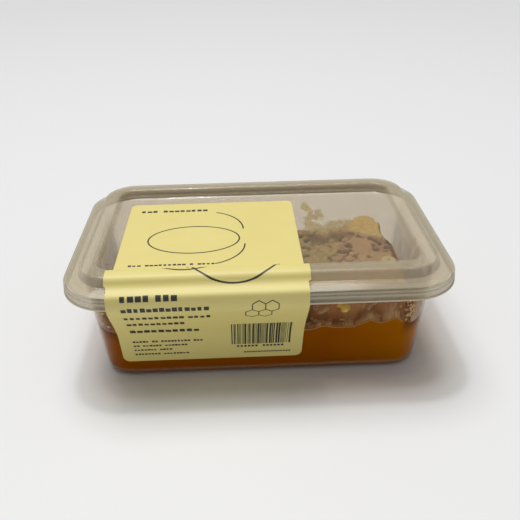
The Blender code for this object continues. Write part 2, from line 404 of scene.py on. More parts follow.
def capping(x, y, cracking):
    """Rise of the capped top at a spot, and how far the spot lies down a gap."""
    warp = noise.noise_vector(Vector((x, y, 0)) * 190) * 0.0008
    x, y = x + warp.x, y + warp.y
    middle_row = round((y - comb_low.y) / row_step)
    near = []
    for row in range(middle_row - 1, middle_row + 2):
        middle_column = round((x - comb_low.x) / CELL_WIDTH - 0.5 * (row % 2))
        for column in range(middle_column - 1, middle_column + 2):
            cell = cells.get((row, column))
            if cell:
                near.append((hypot(x - cell[0], y - cell[1]), cell[2]))
    near.sort()
    gap = near[1][0] - near[0][0]
    dome = DOME * (1 - (near[0][0] / DOME_REACH) ** 2) + 0.6 * near[0][1]
    broken = min(max(0.30 + 2.2 * noise.noise(Vector((x * 85, y * 85, 3.0))), 0.0), 1.0)
    crack = cracking * broken * exp(-((gap / CRACK_HALF_WIDTH) ** 2))
    well = max(step_between(0.0, 0.0008, size - hypot(x - a, y - b)) for a, b, size in WELLS)
    rise = dome - CRACK_DEPTH * crack - WELL_DEPTH * well
    return rise, min(0.85 * crack + well, 1.0)


def golden_share(spot):
    """Newer golden wax stands proud at the back right corner."""
    wander = 0.0022 * noise.noise(spot * 150)
    front = 0.0093 - 0.72 * (spot.x - 0.048) + wander
    return step_between(0.0, 0.0022, spot.y - front) * step_between(0.0445, 0.0475, spot.x + wander)


def rosy_share(spot):
    """Rosier, older cappings lie right of the middle and along the back."""
    wander = 0.006 * noise.noise(spot * 90)
    right = step_between(0.033, 0.042, spot.x + wander)
    return max(right, 0.8 * step_between(0.002, 0.009, spot.y + wander))


def dark_share(spot):
    """Open brown cells run down the right edge in front of the golden wax."""
    wander = 0.003 * noise.noise(spot * 140)
    along = step_between(-0.0165, -0.0110, spot.y + wander)
    along *= 1 - step_between(0.0, 0.004, spot.y + wander)
    return 0.5 * along * step_between(0.0535, 0.0585, spot.x + wander)


def cream_share(spot):
    """A pale scraped patch at the front right corner."""
    apart = hypot(spot.x - 0.0615, (spot.y + 0.0225) * 0.8) + 0.0012 * noise.noise(spot * 300)
    return 1 - step_between(0.0030, 0.0050, apart)


# Cut cells stand as upright flutes on the sides, and the wax is lumpy all over
hair = Vector((1, 1, 1)) * 1e-5
low_limit, high_limit = comb_low + hair, comb_high - hair
hollows, dark_cells_and_shade = [], []
normals = [v.normal.copy() for v in comb.data.vertices]
for point, normal in zip(comb.data.vertices, normals):
    spot = point.co.copy()
    top_share = step_between(0.45, 0.85, normal.z) if spot.z > TOP_FROM else 0.0
    side = 1 - step_between(0.3, 0.7, abs(normal.z))
    flute = sin(2 * pi * (spot.x + spot.y * 0.9) / CELL_WIDTH + 1.5 * noise.noise(spot * 120))
    lump = noise.noise(spot * 260) * 0.00055 + noise.noise(spot * 620) * 0.00026
    point.co += normal * (lump + side * (0.0003 * flute + 0.0006 * noise.noise(spot * 160) - 0.0003))
    golden = golden_share(spot)
    rise, hollow = capping(spot.x, spot.y, 1 - 0.65 * golden) if top_share > 0 else (0.0, 0.0)
    rise *= 1 - 0.3 * golden
    wave = 0.0006 * noise.noise(Vector((spot.x * 60, spot.y * 60, 7.0)))
    point.co.z += top_share * (rise + wave + 0.0007 * golden)
    hollows.append(hollow * top_share)
    # Painted shade: the right shoulder below the cappings and every right-facing side get the open
    # cells' dark brown
    shaded_right_shoulder = step_between(0.050, 0.056, spot.x) * (1 - step_between(0.0405, 0.0430, spot.z))
    shaded_right_shoulder *= 1 - step_between(0.3, 0.6, -normal.y)
    dark_cells_and_shade.append(max(dark_share(spot), 0.9 * shaded_right_shoulder, 0.9 * step_between(0.25, 0.6, normal.x)))
    for axis in range(3):
        point.co[axis] = min(max(point.co[axis], low_limit[axis]), high_limit[axis])
store(comb, "hollow", hollows)
paint(comb, "rosy", rosy_share)
store(comb, "dark", dark_cells_and_shade)
paint(comb, "golden", golden_share)
paint(comb, "cream", cream_share)


def two_tones(material, share, low, low_colour, high, high_colour):
    """A colour that goes from one tone to another as a share rises."""
    ramp = node_of(material, "ValToRGB", {"Fac": share})
    for mark, place, colour in zip(ramp.color_ramp.elements, (low, high), (low_colour, high_colour)):
        mark.position = place
        mark.color = (*colour, 1)
    return ramp.outputs["Color"]


def tint_over(material, share, under, over):
    """One colour laid over another by a share."""
    values = {"Factor": share, "A": under, "B": over}
    return node_of(material, "Mix", values, data_type="RGBA").outputs["Result"]


def object_place(material):
    """The place on the piece, for patterns that sit still on it."""
    return node_of(material, "TexCoord", {}).outputs["Object"]


def comb_wax_material():
    """Moist beeswax: beige and rosy cappings, a golden corner, painted shade in the gaps and on the
    right side.
    """
    material = plain_material("comb_wax_capped", {"Subsurface Weight": 0.15, "Subsurface Scale": 0.002})
    place = object_place(material)
    patches = node_of(material, "TexNoise", {"Vector": place, "Scale": 55, "Detail": 3})
    colour = two_tones(material, patches.outputs["Fac"], 0.38, BEIGE_WAX, 0.62, PALE_BEIGE_WAX)
    # Honey has soaked the sides brown below the cappings
    height = node_of(material, "SeparateXYZ", {"Vector": place}).outputs["Z"]
    soaked = node_of(material, "MapRange", {"Value": height, "From Min": 0.0415, "From Max": 0.0375})
    for share, tone in (
        (attribute_of(material, "rosy"), ROSY_WAX), (attribute_of(material, "golden"), GOLDEN_WAX),
        (attribute_of(material, "cream"), CREAM_WAX), (soaked.outputs["Result"], SOAKED_WAX),
        (attribute_of(material, "dark"), DARK_CELL_AND_SHADE_WAX), (attribute_of(material, "hollow"), GAP_PAINTED_SHADE),
    ):
        colour = tint_over(material, share, colour, tone)
    fill(shader_of(material).inputs["Base Color"], colour)
    grain = node_of(material, "TexNoise", {"Vector": place, "Scale": 420}).outputs["Fac"]
    gloss = node_of(material, "MapRange", {"Value": grain, "To Min": 0.28, "To Max": 0.62})
    fill(shader_of(material).inputs["Roughness"], gloss.outputs["Result"])
    return material


comb.data.materials.append(comb_wax_material())
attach(comb, "root")
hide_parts("honeycomb")


# ---------------------------------------------------------------- honey
# Dark amber honey stands in the tub round the comb. It wets the wall, so its edge
# runs up and down where comb and wax press against the plastic.

INTO_WALL = 0.0003
FILM = 0.0009
BROWN_HONEY = (0.33, 0.090, 0.001)
GOLDEN_HONEY = (0.48, 0.170, 0.0005)
# Darker brown laid on the open top away from the wall as painted shade
SHADED_HONEY_TOP = (0.20, 0.062, 0.002)
HONEY_FROTH = (0.62, 0.36, 0.14)
LEVEL = 0.0235
BELOW_LEVEL = 0.0229
# How far in the film still counts as touching the wall, and how fast its rise dies away
AT_WALL = FILM * 0.6
RISE_FADE = 0.0012
# Froth lies on the edge only, along the front wall
FROTH_ABOVE = 0.0232
FROTH_BEFORE = -0.035
# Height of the honey's edge along the front wall, by place along it
FRONT_EDGE = (
    (-0.0760, 0.0250), (-0.0500, 0.0245), (0.0150, 0.0236), (0.0215, 0.0239), (0.0280, 0.0257),
    (0.0320, 0.0246), (0.0402, 0.0245), (0.0444, 0.0262), (0.0478, 0.0281), (0.0522, 0.0263),
    (0.0565, 0.0272), (0.0593, 0.0288), (0.0627, 0.0264), (0.0655, 0.0243), (0.0760, 0.0236),
)


def slice_across():
    """Cut the mesh being edited across its length every 2 mm, so it can bend."""
    for station in range(-36, 38):
        bpy.ops.mesh.select_all(action="SELECT")
        bpy.ops.mesh.bisect(plane_co=(station * 0.002, 0, 0), plane_no=(1, 0, 0))


def edge_height(x):
    """Smooth height of the honey's edge on the front wall at a place along it."""
    for (left, low), (right, high) in zip(FRONT_EDGE, FRONT_EDGE[1:]):
        if x <= right:
            blend = min(max((x - left) / (right - left), 0.0), 1.0)
            ease = blend * blend * (3 - 2 * blend)
            return low + (high - low) * ease
    return FRONT_EDGE[-1][1]


honey_profile = quarter_round(TUB_WALL - INTO_WALL, TUB_EDGE - TUB_WALL + INTO_WALL, 5)
honey_heights = (0.008, 0.013, 0.018, BELOW_LEVEL, LEVEL)
honey_profile += [(wall_reach(h) - TUB_WALL + INTO_WALL, h) for h in honey_heights]
honey = rounded_box("amber_honey", tub_half_x, tub_half_y, TUB_CORNER, honey_profile)
only(honey)
start_editing()
bpy.ops.mesh.select_all(action="DESELECT")
honey_mesh = bmesh.from_edit_mesh(honey.data)
for face in honey_mesh.faces:
    face.select = face.normal.z > 0.9 and face.calc_center_median().z > 0.02
bmesh.update_edit_mesh(honey.data)
bpy.ops.mesh.inset(thickness=FILM)
bpy.ops.mesh.inset(thickness=0.0025)
slice_across()
bpy.ops.mesh.select_all(action="SELECT")
bpy.ops.mesh.normals_make_consistent(inside=False)
stop_editing()
# The edge on the front wall rises and falls, and the film behind it follows
honey_rim, honey_top = [], []
for point in honey.data.vertices:
    rim, top = 0.0, 0.0
    if point.co.z > BELOW_LEVEL - 0.0004:
        wall_y = -tub_half_y - wall_reach(point.co.z) + TUB_WALL
        from_wall = point.co.y - wall_y
        at_wall = from_wall < AT_WALL
        close = 1.0 if at_wall else exp(-(from_wall - AT_WALL) / RISE_FADE)
        frothy = at_wall and point.co.z > FROTH_ABOVE and point.co.y < FROTH_BEFORE
        rim = 1.0 if frothy else 0.0
        reach = wall_reach(point.co.z) - TUB_WALL
        inside = min(tub_half_x + reach - abs(point.co.x), tub_half_y + reach - abs(point.co.y))
        top = step_between(0.0002, 0.0008, inside)
        if point.co.y < 0:
            lift = (edge_height(point.co.x) - LEVEL) * close
            point.co.z += lift
            point.co.y -= WALL_SLOPE * lift * at_wall
    honey_rim.append(rim)
    honey_top.append(top)
store(honey, "rim", honey_rim)
store(honey, "top", honey_top)
honey.data.materials.clear()


def honey_material():
    """Thick amber: nearly brown, golden where light comes through, and darkened by painted shade on the
    open top away from the wall.
    """
    values = {"Roughness": 0.12, "IOR": 1.06, "Subsurface Weight": 0.1, "Subsurface Scale": 0.003}
    material = plain_material("amber_honey_clear", values)
    place = object_place(material)
    clouds = node_of(material, "TexNoise", {"Vector": place, "Scale": 38, "Detail": 2}).outputs["Fac"]
    across = node_of(material, "SeparateXYZ", {"Vector": place}).outputs["X"]
    along = reckon(material, "MULTIPLY_ADD", across, 11.0, -0.62)
    swirl = reckon(material, "MULTIPLY_ADD", clouds, 0.9, along)
    colour = two_tones(material, swirl, 0.15, BROWN_HONEY, 0.75, GOLDEN_HONEY)
    # Painted shade: the open top away from the wall is darkened
    colour = tint_over(material, attribute_of(material, "top"), colour, SHADED_HONEY_TOP)
    colour = tint_over(material, attribute_of(material, "rim"), colour, HONEY_FROTH)
    fill(shader_of(material).inputs["Base Color"], colour)
    return material


honey.data.materials.append(honey_material())
smooth(honey, 50)
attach(honey, "root")
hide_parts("honey")


# ---------------------------------------------------------------- smears and bits on the wall
# Above the honey the inside of the wall is smeared with honey and wax, and flakes,
# crumbs and bubbles stick to it. Each kind is one piece of joined lumps.

FILM_THICKNESS = 0.00008
SMEAR_FOOT = 0.0190
SMEAR_TOP = 0.0462
SMEAR_OFF_WALL = 0.00006
SMEAR_BROWN = (0.50, 0.25, 0.10)
SMEAR_BEIGE = (0.70, 0.50, 0.28)
smear_heights = [SMEAR_FOOT + (SMEAR_TOP - SMEAR_FOOT) * step / 16 for step in range(17)]
smear_profile = [(wall_reach(h) - TUB_WALL - SMEAR_OFF_WALL, h) for h in smear_heights]
smears = rounded_box("wall_smears", tub_half_x, tub_half_y, TUB_CORNER, smear_profile)
open_end(smears, SMEAR_FOOT)
open_end(smears, SMEAR_TOP)
only(smears)
start_editing()
slice_across()
stop_editing()


def film_over_clear(material, share):
    """Show the material by a share, and nothing at all for the rest."""
    opening = node_of(material, "BsdfTransparent", {}).outputs["BSDF"]
    blend_shaders(material, share, opening, shader_of(material).outputs["BSDF"])


def smear_thickness(spot):
    """Thick close above the honey and towards both ends of the front, thin at the back."""
    above = spot.z - edge_height(spot.x)
    close = 0.9 * exp(-((above / 0.0030) ** 2))
    ends = 0.08 + 0.72 * step_between(0.018, 0.052, abs(spot.x - 0.015))
    front = 1 - step_between(-0.036, -0.020, spot.y)
    return min(ends + close, 1.0) * (0.03 + 0.97 * front)


paint(smears, "thick", smear_thickness)
apply_modifier(smears, "SOLIDIFY", thickness=FILM_THICKNESS, offset=-1.0)
smooth(smears, 35)


def smear_material():
    """A broken film: clear between the streaks, brown to pale beige in them."""
    material = plain_material("honey_wax_smear", {"Roughness": 0.35})
    stretch = node_of(material, "Mapping", {"Vector": object_place(material), "Scale": (1, 1, 0.4)})
    values = {"Vector": stretch.outputs["Vector"], "Scale": 170, "Detail": 4, "Distortion": 0.6}
    streaks = node_of(material, "TexNoise", values).outputs["Fac"]
    colour = two_tones(material, streaks, 0.45, SMEAR_BROWN, 0.68, SMEAR_BEIGE)
    fill(shader_of(material).inputs["Base Color"], colour)
    values = {"Value": streaks, "From Min": 0.38, "From Max": 0.66, "To Min": 0.22}
    patchy = node_of(material, "MapRange", values)
    amount = reckon(material, "MULTIPLY", attribute_of(material, "thick"), patchy.outputs["Result"])
    film_over_clear(material, amount)
    return material


smears.data.materials.append(smear_material())
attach(smears, "root")


def lump(spot, size, tilt, tone, draw):
    """One uneven crumb or flake with its own tone, turned in the wall's plane."""
    bpy.ops.mesh.primitive_ico_sphere_add(subdivisions=3, radius=1.0, location=(0, 0, 0))
    crumb = bpy.context.object
    shift = Vector((draw.uniform(0, 50), 0, 0))
    for point in crumb.data.vertices:
        swell = 0.86 + 0.35 * noise.noise(point.co * 1.5 + shift)
        point.co *= swell + 0.10 * noise.noise(point.co * 4 + shift)
    crumb.scale = size
    crumb.rotation_euler = (0, tilt, 0)
    crumb.location = spot
    apply_place()
    paint(crumb, "tone", lambda place: tone)
    return crumb


def join_all(pieces, name):
    """Join pieces into one object with a name."""
    bpy.ops.object.select_all(action="DESELECT")
    for piece in pieces:
        piece.select_set(True)
    bpy.context.view_layer.objects.active = pieces[0]
    bpy.ops.object.join()
    pieces[0].name = name
    bpy.ops.object.shade_smooth()
    return pieces[0]


def on_front_wall(x, z, inward):
    """A spot inside the front wall, a short way in from its inner face."""
    return Vector((x, -tub_half_y - wall_reach(z) + TUB_WALL + inward, z))


# Place along the wall and height, half width, half height, tilt and tone, in mm and degrees
WALL_BITS = (
    (36.5, 34.8, 2.7, 2.1, 10, 0.50), (34.0, 36.4, 1.5, 1.0, -20, 0.50),
    (27.6, 34.2, 2.4, 1.3, -35, 0.88), (25.8, 32.8, 1.3, 0.9, 10, 0.84),
    (28.4, 37.4, 0.8, 0.6, 0, 0.80), (31.0, 37.2, 0.5, 0.4, 0, 0.80),
    (35.4, 28.3, 1.4, 0.4, 0, 0.60), (47.4, 35.0, 2.2, 0.8, -48, 0.88),
    (49.4, 36.6, 1.3, 0.6, -35, 0.86), (44.6, 35.8, 0.7, 1.6, 8, 0.84),
    (64.2, 29.4, 0.9, 0.6, 10, 0.80),
    (-68.6, 36.5, 1.0, 0.7, 0, 0.80), (-69.0, 31.0, 0.7, 0.9, 0, 0.80),
)
CLUSTER_MIDDLE = (65.2, 32.4)
CLUSTER_SPREAD = (1.2, 2.2)
CLUSTER_GRAINS = 40
FLAKE_THICKNESS = 0.00025
# Place along the wall and height, and radius, in mm
WALL_BUBBLES = (
    (23.5, 35.6, 0.95), (23.7, 28.2, 0.65), (21.1, 26.6, 0.75), (21.9, 29.6, 0.40), (25.6, 26.4, 0.45),
    (44.3, 18.6, 0.85), (39.4, 27.4, 0.35), (52.4, 29.6, 0.40), (60.2, 31.6, 0.45), (-66.9, 29.0, 0.50),
    (56.0, 12.0, 0.35), (28.0, 12.5, 0.35),
)
bit_draw = random.Random(5)
bits = []
for x, z, half_width, half_height, tilt, tone in WALL_BITS:
    spot = on_front_wall(x / 1000, z / 1000, 0.00034)
    size = (half_width / 1000, FLAKE_THICKNESS, half_height / 1000)
    bits.append(lump(spot, size, radians(tilt), tone, bit_draw))
for _ in range(CLUSTER_GRAINS):
    x = bit_draw.gauss(CLUSTER_MIDDLE[0], CLUSTER_SPREAD[0]) / 1000
    z = bit_draw.gauss(CLUSTER_MIDDLE[1], CLUSTER_SPREAD[1]) / 1000
    grain = bit_draw.uniform(0.00020, 0.00050)
    spot = on_front_wall(min(x, 0.0668), z, grain * 0.7)
    bits.append(lump(spot, (grain, grain * 0.6, grain), 0, bit_draw.uniform(0.60, 0.95), bit_draw))


def wax_bit_material(name, middle, pale):
    """Loose wax: brown through yellow to pale cream by each crumb's own tone."""
    values = {"Roughness": 0.45, "Subsurface Weight": 0.15, "Subsurface Scale": 0.001}
    material = plain_material(name, values)
    colour = two_tones(material, attribute_of(material, "tone"), 0.0, (0.20, 0.09, 0.04), 0.5, middle)
    last = colour.node.color_ramp.elements.new(0.9)
    last.color = (*pale, 1)
    fill(shader_of(material).inputs["Base Color"], colour)
    return material


wall_bits = join_all(bits, "wax_bits_on_wall")
wall_bits.data.materials.append(
    wax_bit_material("loose_wax_on_wall", (0.92, 0.68, 0.13), (0.58, 0.42, 0.25))
)
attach(wall_bits, "root")

# Each bubble is drawn only as a pale ring, a painted highlight round its rim
rings = []
for x, z, radius in WALL_BUBBLES:
    bpy.ops.mesh.primitive_torus_add(
        major_radius=radius / 1000, minor_radius=0.00013, major_segments=20, minor_segments=8,
        location=on_front_wall(x / 1000, z / 1000, -0.00005 if z < 22 else 0.0003),
        rotation=(pi / 2 + atan2(WALL_SLOPE, 1), 0, 0),
    )
    rings.append(bpy.context.object)
bubbles = join_all(rings, "air_bubbles")
only(bubbles)
apply_place()
bubbles.data.materials.append(
    plain_material("bubble_rim_painted_highlight", {"Base Color": (0.85, 0.68, 0.48), "Roughness": 0.15})
)
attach(bubbles, "root")


# ---------------------------------------------------------------- lid
# The lid is a thin translucent moulding: a sunk panel inside a raised hollow rim, a
# ledge round it, and a short ribbed skirt that clips over the tub's rim.

lid_low, lid_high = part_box("lid")
LID_CORNER = 0.0232
LID_WALL = 0.0008
LEDGE = 0.0502
RING_OUTER = 0.0072
RING_INNER = 0.0157
PANEL = 0.0511
SKIRT_FOOT = lid_low.z
RING_TOP = lid_high.z
RING_MILK = 0.26
# Inset, height, and how milky the plastic looks there, from the skirt to the panel
lid_profile = [
    # The skirt's foot is near solid: a thick bead, partly a painted highlight along its bottom edge
    (0.0, SKIRT_FOOT, 0.90),
    (0.0, SKIRT_FOOT + 0.0005, 0.90),
    (0.0005, SKIRT_FOOT + 0.0008, 0.26),
    (0.0005, SKIRT_FOOT + 0.0019, 0.26),
    (0.0002, SKIRT_FOOT + 0.0023, 0.34),
    (0.0002, SKIRT_FOOT + 0.0028, 0.60),
    (0.0002, SKIRT_FOOT + 0.0032, 0.60),
    (0.0005, SKIRT_FOOT + 0.0035, 0.28),
    (0.0005, SKIRT_FOOT + 0.0040, 0.28),
    (0.0003, SKIRT_FOOT + 0.0043, 0.55),
    (0.0003, SKIRT_FOOT + 0.0048, 0.55),
    (0.0005, SKIRT_FOOT + 0.0051, 0.28),
    (0.0007, LEDGE - 0.0003, 0.20),
    (0.0012, LEDGE, 0.36),
    (0.0035, LEDGE + 0.0002, 0.36),
    (0.0039, LEDGE + 0.0005, 0.30),
    (RING_OUTER - 0.0008, LEDGE + 0.0007, 0.30),
    (RING_OUTER - 0.0002, LEDGE + 0.0010, 0.30),
    (RING_OUTER, LEDGE + 0.0015, 0.34),
    (RING_OUTER + 0.0006, RING_TOP - 0.0014, 0.34),
    (RING_OUTER + 0.0008, RING_TOP - 0.0007, 0.36),
    (RING_OUTER + 0.0013, RING_TOP - 0.0002, 0.34),
    (RING_OUTER + 0.0020, RING_TOP, RING_MILK),
    (RING_INNER - 0.0015, RING_TOP, RING_MILK),
    (RING_INNER - 0.0008, RING_TOP - 0.0002, RING_MILK),
    (RING_INNER - 0.0003, RING_TOP - 0.0006, RING_MILK),
    (RING_INNER, RING_TOP - 0.0013, 0.20),
    (RING_INNER + 0.0005, PANEL + 0.0017, 0.14),
    (RING_INNER + 0.0009, PANEL + 0.0010, 0.12),
    (RING_INNER + 0.0014, PANEL + 0.0005, 0.08),
    (RING_INNER + 0.0020, PANEL + 0.0002, 0.02),
    (RING_INNER + 0.0028, PANEL, 0.0),
]


def lid_inset(spot):
    """How far a spot lies inside the lid's rounded outline."""
    over_x = abs(spot.x) - (lid_high.x - LID_CORNER)
    over_y = abs(spot.y) - (lid_high.y - LID_CORNER)
    if over_x > 0 and over_y > 0:
        return LID_CORNER - hypot(over_x, over_y)
    return LID_CORNER - max(over_x, over_y)


def lid_milk(spot):
    """The milkiness of the nearest profile point."""
    inset = lid_inset(spot)
    return min(lid_profile, key=lambda mark: hypot(mark[0] - inset, mark[1] - spot.z))[2]


lid = rounded_box(
    "translucent_lid", lid_high.x, lid_high.y, LID_CORNER,
    [(-inset, height) for inset, height, _ in lid_profile],
)
open_end(lid, SKIRT_FOOT)
paint(lid, "milk", lid_milk)
apply_modifier(lid, "SOLIDIFY", thickness=LID_WALL, offset=-1.0, use_even_offset=True)
smooth(lid, 35)
lid.data.materials.append(
    clear_plastic("milky_lid_plastic", (0.865, 0.835, 0.775), (0.71, 0.64, 0.47), 0.02, 0.60, 0.03, 0.10)
)
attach(lid, "root")
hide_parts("lid")


# ---------------------------------------------------------------- wax under the lid
# Wax is smeared against the lid's underside behind the comb as one thin uneven sheet,
# with a few yellow stains along the back of the raised rim.

# Place across and along, half width and half depth, tone, in mm
UNDER_LID = (
    (25.7, 28.1, 2.6, 6.4, 0.48), (26.4, 23.8, 1.8, 5.0, 0.64), (28.1, 20.0, 2.2, 5.2, 0.74),
    (32.1, 18.8, 2.6, 5.8, 0.84), (30.0, 15.8, 3.2, 5.4, 0.80), (27.6, 14.4, 2.4, 5.6, 0.76),
    (33.2, 14.6, 2.0, 4.4, 0.84), (26.0, 11.6, 2.4, 5.6, 0.74), (24.8, 7.4, 3.0, 6.0, 0.72),
    (27.4, 5.6, 3.8, 6.4, 0.74), (30.2, 3.0, 3.4, 4.8, 0.76), (36.4, 6.2, 3.6, 5.4, 0.82),
    (39.0, 6.6, 3.8, 5.6, 0.84), (41.8, 6.6, 3.8, 5.4, 0.84), (45.0, 7.2, 3.6, 5.4, 0.84),
    (34.6, 2.6, 3.4, 4.2, 0.80), (26.0, 0.6, 3.6, 5.0, 0.72), (31.5, -0.5, 4.0, 4.4, 0.76),
    (38.0, 2.4, 4.6, 4.6, 0.80),
)
RIM_STAINS = (
    (-11.5, 47.4, 4.5, 0.9, 0.52), (-19.5, 47.2, 2.4, 0.6, 0.60), (19.5, 47.6, 2.4, 0.9, 0.45),
    (23.5, 46.0, 1.6, 0.6, 0.52), (41.0, 47.4, 0.9, 0.5, 0.50), (50.0, 36.8, 0.5, 0.4, 0.05),
)
SHEET_LEFT, SHEET_RIGHT = 0.0180, 0.0520
SHEET_FRONT, SHEET_BACK = -0.0070, 0.0370
SHEET_THICKNESS = 0.00012
UNDER_PANEL = PANEL - LID_WALL
UNDER_RIM = RING_TOP - LID_WALL


def wax_layer(spot):
    """How much wax covers a spot under the panel, and its tone."""
    wander = noise.noise_vector(spot * 240) * 0.0016 + noise.noise_vector(spot * 700) * 0.0006
    x, y = (spot.x + wander.x) * 1000, (spot.y + wander.y * 2) * 1000
    cover, tone = 0.0, 0.8
    for middle_x, middle_y, half_width, half_depth, blob_tone in UNDER_LID:
        out = hypot((x - middle_x) / half_width, (y - middle_y) / half_depth)
        share = 1 - step_between(0.35, 1.0, out)
        if share > cover:
            cover, tone = share, blob_tone
    return cover * (0.62 + 0.30 * noise.noise(spot * 520)), tone


bpy.ops.mesh.primitive_grid_add(x_subdivisions=90, y_subdivisions=90, size=1, location=(0, 0, 0))
wax_sheet = bpy.context.object
start_editing()
bpy.ops.transform.resize(value=(SHEET_RIGHT - SHEET_LEFT, SHEET_BACK - SHEET_FRONT, 1))
sheet_middle = ((SHEET_LEFT + SHEET_RIGHT) / 2, (SHEET_FRONT + SHEET_BACK) / 2, UNDER_PANEL - 0.0004)
bpy.ops.transform.translate(value=sheet_middle)
sheet_mesh = bmesh.from_edit_mesh(wax_sheet.data)
for face in sheet_mesh.faces:
    face.select = max(wax_layer(point.co)[0] for point in face.verts) < 0.01
bmesh.update_edit_mesh(wax_sheet.data)
bpy.ops.mesh.delete(type="FACE")
stop_editing()
paint(wax_sheet, "cover", lambda place: wax_layer(place)[0])
paint(wax_sheet, "tone", lambda place: wax_layer(place)[1])
apply_modifier(wax_sheet, "SOLIDIFY", thickness=SHEET_THICKNESS, offset=-1.0)
crumbs = [wax_sheet]
for x, y, half_width, half_depth, tone in RIM_STAINS:
    spot = Vector((x / 1000, y / 1000, UNDER_RIM - 0.0002))
    stain = lump(spot, (half_width / 1000, half_depth / 1000, 0.00015), 0, tone, bit_draw)
    paint(stain, "cover", lambda place: 0.6)
    crumbs.append(stain)
lid_crumbs = join_all(crumbs, "wax_under_lid")
smeared_wax = wax_bit_material("loose_wax_under_lid", (0.84, 0.66, 0.22), (0.68, 0.60, 0.38))
film_over_clear(smeared_wax, attribute_of(smeared_wax, "cover"))
lid_crumbs.data.materials.append(smeared_wax)
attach(lid_crumbs, "root")


# ---------------------------------------------------------------- label
# The label is one sheet of pale yellow paper with round corners. It is stuck to the
# panel, folded over the raised rim and the ledge, and pressed on to the front wall.

LABEL_LEFT = -0.0643
LABEL_RIGHT = 0.0195
LABEL_BACK = 0.0329
LABEL_FOOT = 0.0094
LABEL_CORNER = 0.0030
PAPER = 0.00014
STAND_OFF = 0.00012
WALL_MEETS = 0.0235
FLARE_OVER_RIM = 1.028
PANEL_WIDTH = 0.992
WALL_FOOT_WIDTH = 0.955
WALL_WIDENING = 0.05
# Where the paper hangs free between the skirt and the wall: way in from the rim, height
BRIDGE = ((0.0024, 0.0395), (0.0064, 0.0335), (0.0100, 0.0275))


def fold_line():
    """The paper's underside from the panel's back to the wall's foot, as Y and Z."""
    rim = lid_high.y
    over = [
        (RING_INNER + 0.0026 - rim, PANEL),
        (RING_INNER + 0.0004 - rim, RING_TOP - 0.0020),
        (RING_INNER - 0.0010 - rim, RING_TOP + 0.0002),
        (RING_OUTER + 0.0026 - rim, RING_TOP + 0.0002),
        (RING_OUTER + 0.0004 - rim, RING_TOP - 0.0008),
        (RING_OUTER - 0.0008 - rim, LEDGE + 0.0026),
        (RING_OUTER - 0.0030 - rim, LEDGE + 0.0012),
        (0.0016 - rim, LEDGE + 0.0005),
        (0.0001 - rim, LEDGE - 0.0008),
    ]
    line = [(LABEL_BACK, PANEL), (0.0, PANEL), (-0.030, PANEL)] + over
    line.append((-rim - 0.0001, SKIRT_FOOT - 0.0002))
    line += [(-rim + inward, height) for inward, height in BRIDGE]
    line += [(-tub_half_y - wall_reach(height), height) for height in (WALL_MEETS, 0.018, LABEL_FOOT)]
    return [Vector(point) for point in line]


def eased(line):
    """Cut each corner of an open line twice, as stiff paper does."""
    for _ in range(2):
        cut = [line[0]]
        for first, second in zip(line, line[1:]):
            cut += [first.lerp(second, 0.25), first.lerp(second, 0.75)]
        line = cut + [line[-1]]
    return line


paper_line = eased(fold_line())
run = [0.0]
for first, second in zip(paper_line, paper_line[1:]):
    run.append(run[-1] + (second - first).length)
PAPER_LENGTH = run[-1]
label_middle = (LABEL_LEFT + LABEL_RIGHT) / 2


def width_share(height, depth_y):
    """The paper flares a little over the rim and narrows down the wall."""
    if height > RING_TOP - 0.003:
        return FLARE_OVER_RIM
    if height > PANEL - 0.001 and depth_y > -0.044:
        return PANEL_WIDTH
    up_wall = min(max((height - LABEL_FOOT) / (SKIRT_FOOT - LABEL_FOOT), 0.0), 1.0)
    return WALL_FOOT_WIDTH + WALL_WIDENING * up_wall


def on_paper(x, along, lift):
    """A spot on the folded label: place across it, distance down it, height off it."""
    index = 0
    while index < len(run) - 2 and run[index + 1] < along:
        index += 1
    first, second = paper_line[index], paper_line[index + 1]
    blend = (along - run[index]) / (run[index + 1] - run[index])
    spot = first.lerp(second, blend)
    before = paper_line[max(index - 1, 0)]
    after = paper_line[min(index + 2, len(paper_line) - 1)]
    tangent = (second - before).lerp(after - first, blend).normalized()
    normal = Vector((tangent.y, -tangent.x))
    spot += normal * (STAND_OFF + lift)
    return Vector((x, spot.x, spot.y))


def fold(piece, lift):
    """Bend a flat sheet, drawn with Y as the distance down the label, over the lid."""
    only(piece)
    low = min(v.co.y for v in piece.data.vertices)
    high = max(v.co.y for v in piece.data.vertices)
    start_editing()
    for mark in run:
        if low + 1e-5 < mark < high - 1e-5:
            bpy.ops.mesh.select_all(action="SELECT")
            bpy.ops.mesh.bisect(plane_co=(0, mark, 0), plane_no=(0, 1, 0))
    stop_editing()
    for point in piece.data.vertices:
        flat = on_paper(point.co.x, min(max(point.co.y, 0.0), PAPER_LENGTH), lift + point.co.z)
        share = width_share(flat.z, flat.y)
        flat.x = label_middle + (flat.x - label_middle) * share
        point.co = flat


bpy.ops.mesh.primitive_plane_add(size=1, location=(0, 0, 0))
label = bpy.context.object
label.name = "paper_label"
start_editing()
bpy.ops.transform.resize(value=(LABEL_RIGHT - LABEL_LEFT, PAPER_LENGTH, 1))
bpy.ops.transform.translate(value=(label_middle, PAPER_LENGTH / 2, 0))
bpy.ops.mesh.bevel(offset=LABEL_CORNER, segments=8, affect="VERTICES")
stop_editing()
fold(label, 0.0)
only(label)
start_editing()
bpy.ops.mesh.select_all(action="SELECT")
bpy.ops.mesh.remove_doubles(threshold=1e-6)
stop_editing()
if sum(face.normal.z * face.area for face in label.data.polygons) < 0:
    label.data.flip_normals()
apply_modifier(label, "SOLIDIFY", thickness=PAPER, offset=1.0)
smooth(label, 50)


